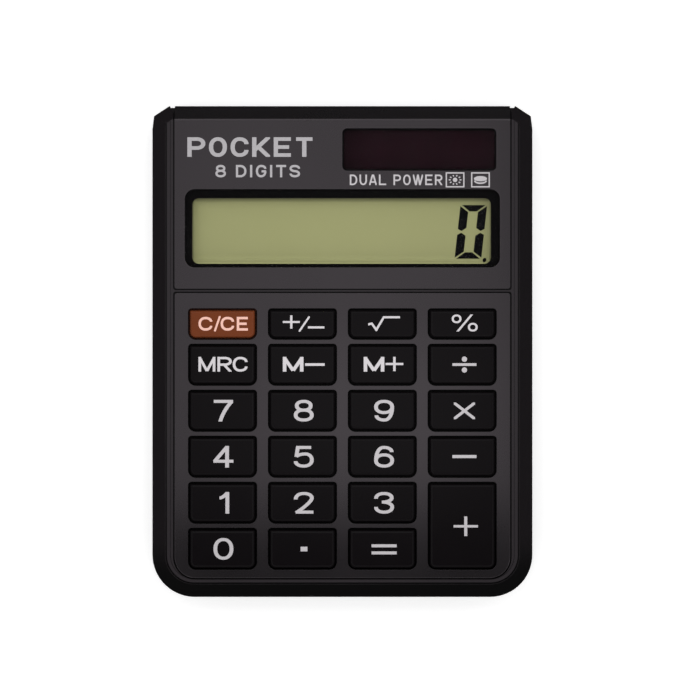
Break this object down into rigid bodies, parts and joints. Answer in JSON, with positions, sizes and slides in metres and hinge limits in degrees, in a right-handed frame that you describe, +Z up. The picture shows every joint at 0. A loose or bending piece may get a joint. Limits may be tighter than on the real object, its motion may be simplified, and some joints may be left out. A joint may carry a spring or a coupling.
{
  "type": "pocket calculator",
  "caption": "Pocket calculator with slim two-shell case, inlaid grey face plates, eight-digit display, solar window and sprung rectangular keys.",
  "frame": {"origin": "centre of the footprint, on the surface that the feet rest on", "axes": "+Z up through the keys, +Y towards the display end, +X to the user's right"},
  "size_m": [0.072, 0.093, 0.0121],
  "materials": {
    "case_plastic": "fine satin texture",
    "frame_plastic": "moulded",
    "plate_grey": "fine satin texture",
    "key_black": "satin",
    "key_orange": "satin",
    "clear_window": "clear",
    "solar_window_tint": "clear",
    "lcd_film": "satin film",
    "lcd_glass": "clear",
    "elastomer": "smooth",
    "solar_glass": "polished, dark",
    "foam": "open cell",
    "silicone": "translucent white",
    "carbon_rubber": "matt",
    "carbon_ink": "printed",
    "board_laminate": "lacquered laminate",
    "epoxy": "glossy drop",
    "component_ceramic": "ceramic",
    "cell_steel": "nickel plated",
    "spring_steel": "nickel plated",
    "screw_steel": "zinc plated",
    "solder": "bright",
    "wire_red": "smooth PVC",
    "wire_black": "smooth PVC"
  },
  "bodies": {
    "body": {"battery_cell": "cell_steel", "battery_contact_negative": "spring_steel", "battery_contact_positive": "spring_steel", "battery_door": "case_plastic", "battery_door_screw": "screw_steel", "battery_wire_black": "wire_black", "battery_wire_red": "wire_red", "carbon_pills": "carbon_rubber", "case_screws": "screw_steel", "chip_blob": "epoxy", "display_plate": "plate_grey", "display_window": "clear_window", "front_case": "case_plastic", "key_contacts": "carbon_ink", "keypad_plate": "plate_grey", "lcd_frame": "frame_plastic", "lcd_front_glass": "lcd_glass", "lcd_polariser": "lcd_film", "lcd_rear_glass": "lcd_glass", "lcd_reflector": "lcd_film", "main_board": "board_laminate", "rear_case": "case_plastic", "rubber_keypad": "silicone", "smd_parts": "component_ceramic", "solar_cell": "solar_glass", "solar_foam_pad": "foam", "solar_window": "solar_window_tint", "solar_wire_black": "wire_black", "solar_wire_red": "wire_red", "solder_joints": "solder", "zebra_strip": "elastomer"},
    "key_0": {"key_0": "key_black"},
    "key_1": {"key_1": "key_black"},
    "key_2": {"key_2": "key_black"},
    "key_3": {"key_3": "key_black"},
    "key_4": {"key_4": "key_black"},
    "key_5": {"key_5": "key_black"},
    "key_6": {"key_6": "key_black"},
    "key_7": {"key_7": "key_black"},
    "key_8": {"key_8": "key_black"},
    "key_9": {"key_9": "key_black"},
    "key_clear": {"key_clear": "key_orange"},
    "key_divide": {"key_divide": "key_black"},
    "key_equals": {"key_equals": "key_black"},
    "key_memory_minus": {"key_memory_minus": "key_black"},
    "key_memory_plus": {"key_memory_plus": "key_black"},
    "key_memory_recall": {"key_memory_recall": "key_black"},
    "key_minus": {"key_minus": "key_black"},
    "key_multiply": {"key_multiply": "key_black"},
    "key_percent": {"key_percent": "key_black"},
    "key_plus": {"key_plus": "key_black"},
    "key_point": {"key_point": "key_black"},
    "key_root": {"key_root": "key_black"},
    "key_sign": {"key_sign": "key_black"}
  },
  "joints": [
    {"name": "key_0_press", "type": "slide", "parent": "body", "child": "key_0", "axis": [0, 0, -1], "range_m": [0, 0.001], "stiffness_N_per_m": 500, "springref_m": -0.0006, "deforming": ["rubber_keypad", "carbon_pills"]},
    {"name": "key_1_press", "type": "slide", "parent": "body", "child": "key_1", "axis": [0, 0, -1], "range_m": [0, 0.001], "stiffness_N_per_m": 500, "springref_m": -0.0006, "deforming": ["rubber_keypad", "carbon_pills"]},
    {"name": "key_2_press", "type": "slide", "parent": "body", "child": "key_2", "axis": [0, 0, -1], "range_m": [0, 0.001], "stiffness_N_per_m": 500, "springref_m": -0.0006, "deforming": ["rubber_keypad", "carbon_pills"]},
    {"name": "key_3_press", "type": "slide", "parent": "body", "child": "key_3", "axis": [0, 0, -1], "range_m": [0, 0.001], "stiffness_N_per_m": 500, "springref_m": -0.0006, "deforming": ["rubber_keypad", "carbon_pills"]},
    {"name": "key_4_press", "type": "slide", "parent": "body", "child": "key_4", "axis": [0, 0, -1], "range_m": [0, 0.001], "stiffness_N_per_m": 500, "springref_m": -0.0006, "deforming": ["rubber_keypad", "carbon_pills"]},
    {"name": "key_5_press", "type": "slide", "parent": "body", "child": "key_5", "axis": [0, 0, -1], "range_m": [0, 0.001], "stiffness_N_per_m": 500, "springref_m": -0.0006, "deforming": ["rubber_keypad", "carbon_pills"]},
    {"name": "key_6_press", "type": "slide", "parent": "body", "child": "key_6", "axis": [0, 0, -1], "range_m": [0, 0.001], "stiffness_N_per_m": 500, "springref_m": -0.0006, "deforming": ["rubber_keypad", "carbon_pills"]},
    {"name": "key_7_press", "type": "slide", "parent": "body", "child": "key_7", "axis": [0, 0, -1], "range_m": [0, 0.001], "stiffness_N_per_m": 500, "springref_m": -0.0006, "deforming": ["rubber_keypad", "carbon_pills"]},
    {"name": "key_8_press", "type": "slide", "parent": "body", "child": "key_8", "axis": [0, 0, -1], "range_m": [0, 0.001], "stiffness_N_per_m": 500, "springref_m": -0.0006, "deforming": ["rubber_keypad", "carbon_pills"]},
    {"name": "key_9_press", "type": "slide", "parent": "body", "child": "key_9", "axis": [0, 0, -1], "range_m": [0, 0.001], "stiffness_N_per_m": 500, "springref_m": -0.0006, "deforming": ["rubber_keypad", "carbon_pills"]},
    {"name": "key_clear_press", "type": "slide", "parent": "body", "child": "key_clear", "axis": [0, 0, -1], "range_m": [0, 0.001], "stiffness_N_per_m": 500, "springref_m": -0.0006, "deforming": ["rubber_keypad", "carbon_pills"]},
    {"name": "key_divide_press", "type": "slide", "parent": "body", "child": "key_divide", "axis": [0, 0, -1], "range_m": [0, 0.001], "stiffness_N_per_m": 500, "springref_m": -0.0006, "deforming": ["rubber_keypad", "carbon_pills"]},
    {"name": "key_equals_press", "type": "slide", "parent": "body", "child": "key_equals", "axis": [0, 0, -1], "range_m": [0, 0.001], "stiffness_N_per_m": 500, "springref_m": -0.0006, "deforming": ["rubber_keypad", "carbon_pills"]},
    {"name": "key_memory_minus_press", "type": "slide", "parent": "body", "child": "key_memory_minus", "axis": [0, 0, -1], "range_m": [0, 0.001], "stiffness_N_per_m": 500, "springref_m": -0.0006, "deforming": ["rubber_keypad", "carbon_pills"]},
    {"name": "key_memory_plus_press", "type": "slide", "parent": "body", "child": "key_memory_plus", "axis": [0, 0, -1], "range_m": [0, 0.001], "stiffness_N_per_m": 500, "springref_m": -0.0006, "deforming": ["rubber_keypad", "carbon_pills"]},
    {"name": "key_memory_recall_press", "type": "slide", "parent": "body", "child": "key_memory_recall", "axis": [0, 0, -1], "range_m": [0, 0.001], "stiffness_N_per_m": 500, "springref_m": -0.0006, "deforming": ["rubber_keypad", "carbon_pills"]},
    {"name": "key_minus_press", "type": "slide", "parent": "body", "child": "key_minus", "axis": [0, 0, -1], "range_m": [0, 0.001], "stiffness_N_per_m": 500, "springref_m": -0.0006, "deforming": ["rubber_keypad", "carbon_pills"]},
    {"name": "key_multiply_press", "type": "slide", "parent": "body", "child": "key_multiply", "axis": [0, 0, -1], "range_m": [0, 0.001], "stiffness_N_per_m": 500, "springref_m": -0.0006, "deforming": ["rubber_keypad", "carbon_pills"]},
    {"name": "key_percent_press", "type": "slide", "parent": "body", "child": "key_percent", "axis": [0, 0, -1], "range_m": [0, 0.001], "stiffness_N_per_m": 500, "springref_m": -0.0006, "deforming": ["rubber_keypad", "carbon_pills"]},
    {"name": "key_plus_press", "type": "slide", "parent": "body", "child": "key_plus", "axis": [0, 0, -1], "range_m": [0, 0.001], "stiffness_N_per_m": 500, "springref_m": -0.0006, "deforming": ["rubber_keypad", "carbon_pills"]},
    {"name": "key_point_press", "type": "slide", "parent": "body", "child": "key_point", "axis": [0, 0, -1], "range_m": [0, 0.001], "stiffness_N_per_m": 500, "springref_m": -0.0006, "deforming": ["rubber_keypad", "carbon_pills"]},
    {"name": "key_root_press", "type": "slide", "parent": "body", "child": "key_root", "axis": [0, 0, -1], "range_m": [0, 0.001], "stiffness_N_per_m": 500, "springref_m": -0.0006, "deforming": ["rubber_keypad", "carbon_pills"]},
    {"name": "key_sign_press", "type": "slide", "parent": "body", "child": "key_sign", "axis": [0, 0, -1], "range_m": [0, 0.001], "stiffness_N_per_m": 500, "springref_m": -0.0006, "deforming": ["rubber_keypad", "carbon_pills"]}
  ]
}
